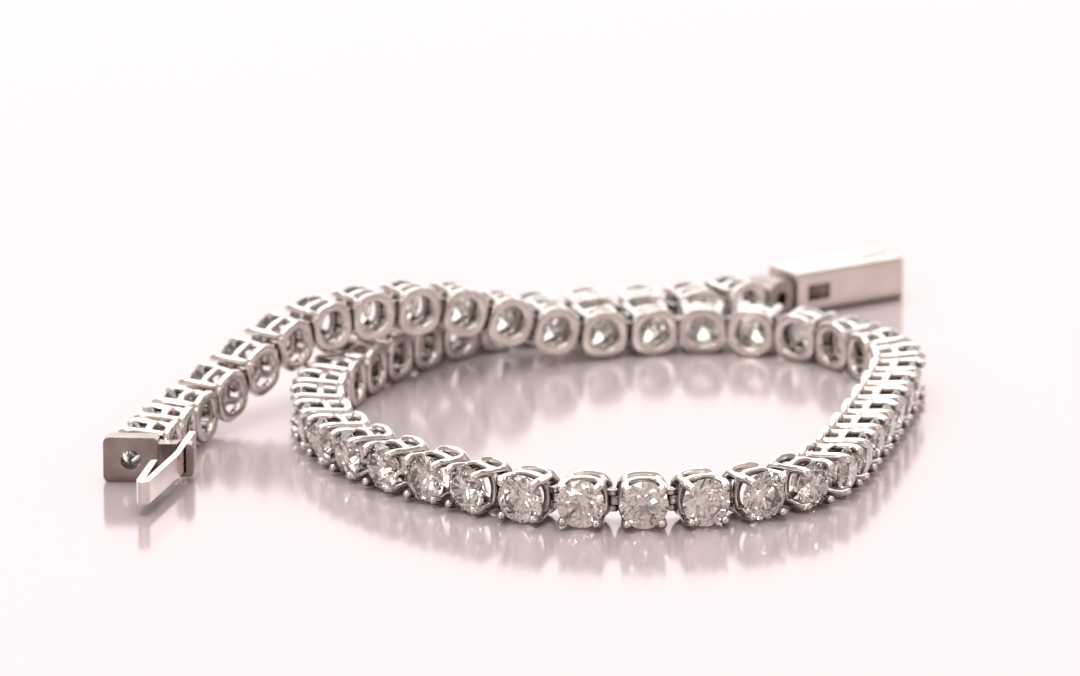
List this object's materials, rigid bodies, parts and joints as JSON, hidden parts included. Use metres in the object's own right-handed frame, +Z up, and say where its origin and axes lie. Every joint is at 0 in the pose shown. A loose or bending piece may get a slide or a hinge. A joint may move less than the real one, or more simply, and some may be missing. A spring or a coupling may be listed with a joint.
{
  "type": "tennis bracelet",
  "caption": "Flexible line bracelet of round stones in four-prong settings, lying unclasped in an open loop, with a box clasp and a folded spring tongue.",
  "frame": {"origin": "on the resting surface, under the middle of the laid bracelet's bounding box", "axes": "+Z up from the surface; +Y away from the viewer, along the loop's longer way; +X to the right, the box clasp's side"},
  "size_m": [0.0472, 0.055, 0.0058],
  "materials": {
    "setting_gold": "bright cast white gold, rhodium plated, with softened edges",
    "clasp_gold": "polished white gold, rhodium plated, with fine handling marks",
    "diamond": "faceted, clear, bright"
  },
  "bodies": {
    "root": {"strand_01": "setting_gold", "strand_02": "setting_gold", "strand_03": "setting_gold", "strand_04": "setting_gold", "strand_05": "setting_gold", "strand_06": "setting_gold", "strand_07": "setting_gold", "strand_08": "setting_gold", "stones_01": "diamond", "stones_02": "diamond", "stones_03": "diamond", "stones_04": "diamond", "stones_05": "diamond", "stones_06": "diamond", "stones_07": "diamond", "stones_08": "diamond", "box_end_link": "setting_gold", "clasp_box": "clasp_gold", "tongue_plate": "clasp_gold", "tongue": "clasp_gold"}
  },
  "joints": []
}
